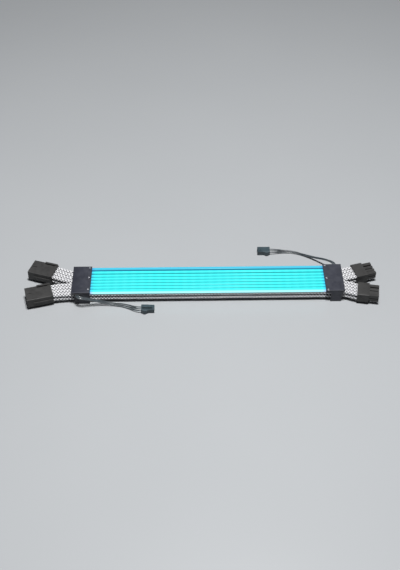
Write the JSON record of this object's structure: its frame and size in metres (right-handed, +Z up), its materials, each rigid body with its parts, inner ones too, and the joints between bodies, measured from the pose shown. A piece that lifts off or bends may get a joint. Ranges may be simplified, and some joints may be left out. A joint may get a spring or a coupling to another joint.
{
  "type": "illuminated power extension cable",
  "caption": "Flat computer power extension cable with braided wires, glowing light guides held by two end blocks, shrouded and slotted connectors, and two thin signal leads.",
  "frame": {"origin": "bottom centre of the cable without its two signal leads, on the surface it lies on", "axes": "+X along the cable from the shrouded receptacles to the slotted plugs, +Y across it to the rear, +Z up out of the light guides"},
  "size_m": [0.343, 0.0911, 0.0147],
  "materials": {
    "sleeve": "braided white plastic fibre over insulated copper",
    "light_guide": "frosted silicone, lit cyan",
    "board": "white solder mask",
    "block_shell": "moulded, fine satin grain",
    "screw": "zinc plated",
    "connector": "moulded nylon",
    "data_connector": "moulded nylon",
    "data_wire": "smooth dark insulation",
    "grommet": "soft, matte"
  },
  "bodies": {
    "cable": {"rear_receptacle_housing": "connector", "front_receptacle_housing": "connector", "rear_plug_housing": "connector", "front_plug_housing": "connector", "lower_wire_1": "sleeve", "lower_wire_2": "sleeve", "lower_wire_3": "sleeve", "lower_wire_4": "sleeve", "lower_wire_5": "sleeve", "lower_wire_6": "sleeve", "lower_wire_7": "sleeve", "lower_wire_8": "sleeve", "upper_wire_1": "sleeve", "upper_wire_2": "sleeve", "upper_wire_3": "sleeve", "upper_wire_4": "sleeve", "upper_wire_5": "sleeve", "upper_wire_6": "sleeve", "upper_wire_7": "sleeve", "upper_wire_8": "sleeve", "light_guide_1": "light_guide", "light_guide_2": "light_guide", "light_guide_3": "light_guide", "light_guide_4": "light_guide", "light_guide_5": "light_guide", "light_guide_6": "light_guide", "light_guide_7": "light_guide", "light_guide_8": "light_guide", "led_strip": "board", "left_block_base": "block_shell", "left_block_yoke": "block_shell", "left_block_lid": "block_shell", "left_end_board": "board", "left_lead_grommet": "grommet", "left_lid_screw_front": "screw", "left_lid_screw_middle": "screw", "left_lid_screw_rear": "screw", "right_block_base": "block_shell", "right_block_yoke": "block_shell", "right_block_lid": "block_shell", "right_end_board": "board", "right_lead_grommet": "grommet", "right_lid_screw_front": "screw", "right_lid_screw_middle": "screw", "right_lid_screw_rear": "screw", "input_socket_body": "data_connector", "output_plug_body": "data_connector", "input_wire_1": "data_wire", "input_wire_2": "data_wire", "input_wire_3": "data_wire", "output_wire_1": "data_wire", "output_wire_2": "data_wire", "output_wire_3": "data_wire"},
    "front_plug_latch": {"front_plug_latch": "connector"},
    "rear_plug_latch": {"rear_plug_latch": "connector"},
    "input_socket_latch": {"input_socket_latch": "data_connector"}
  },
  "joints": [
    {"name": "front_plug_latch_rock", "type": "hinge", "parent": "cable", "child": "front_plug_latch", "pos_m": [0.1598, -0.01754, 0.0016], "axis": [0.1736, 0.9848, 0], "range_deg": [0, 5.5], "stiffness_Nm_per_rad": 0.1},
    {"name": "rear_plug_latch_rock", "type": "hinge", "parent": "cable", "child": "rear_plug_latch", "pos_m": [0.15899, 0.01137, 0.0016], "axis": [-0.2672, 0.9636, 0], "range_deg": [0, 5.5], "stiffness_Nm_per_rad": 0.1},
    {"name": "input_socket_latch_rock", "type": "hinge", "parent": "cable", "child": "input_socket_latch", "pos_m": [-0.05255, -0.0315, 0.0054], "axis": [0, -1, 0], "range_deg": [0, 5], "stiffness_Nm_per_rad": 0.02}
  ]
}
